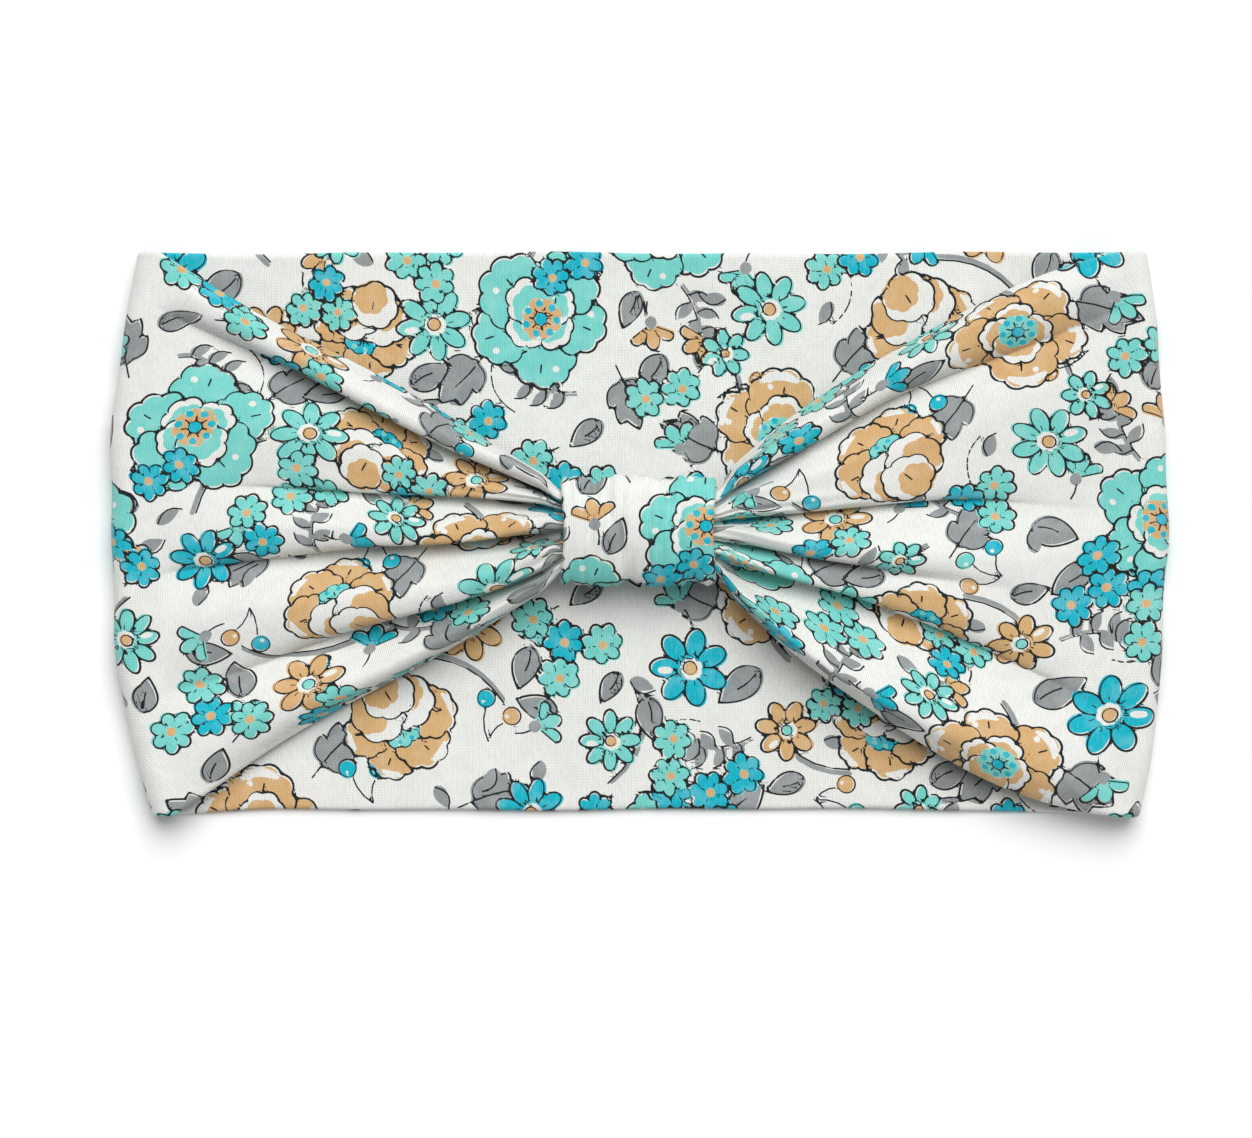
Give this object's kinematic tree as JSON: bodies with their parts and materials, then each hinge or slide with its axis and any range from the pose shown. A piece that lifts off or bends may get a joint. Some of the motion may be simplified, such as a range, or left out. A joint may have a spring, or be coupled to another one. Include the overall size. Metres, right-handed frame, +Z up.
{
  "type": "knotted headband",
  "caption": "Wide soft jersey headband lying flat: a loop of flattened cloth tube whose gathered front ends are held by a short centre wrap.",
  "frame": {"origin": "under the middle of the band, on the surface that the back of the loop lies on", "axes": "+X along the band, from the left side fold to the right one as seen from the front; +Y across the band, towards its top edge; +Z up, out of the gathered front"},
  "size_m": [0.24, 0.127, 0.0161],
  "materials": {
    "printed_jersey": "matte jersey knit, ivory ground with a floral print in mint, teal, tan and grey",
    "jersey_reverse": "matte unprinted reverse of the knit",
    "thread": "ivory polyester sewing thread"
  },
  "bodies": {
    "back": {"back_panel": "printed_jersey", "left_side_fold": "printed_jersey", "right_side_fold": "printed_jersey", "seam_allowance": "jersey_reverse", "band_seam_stitches": "thread"},
    "front": {"front_left_panel": "printed_jersey", "front_right_panel": "printed_jersey", "end_seam_stitches": "thread", "gathering_thread": "thread", "centre_wrap": "printed_jersey", "wrap_closing_stitches": "thread", "wrap_tacks": "thread"}
  },
  "joints": [
    {"name": "front_lift", "type": "slide", "parent": "back", "child": "front", "axis": [0, 0, 1], "range_m": [0, 0.05]}
  ]
}
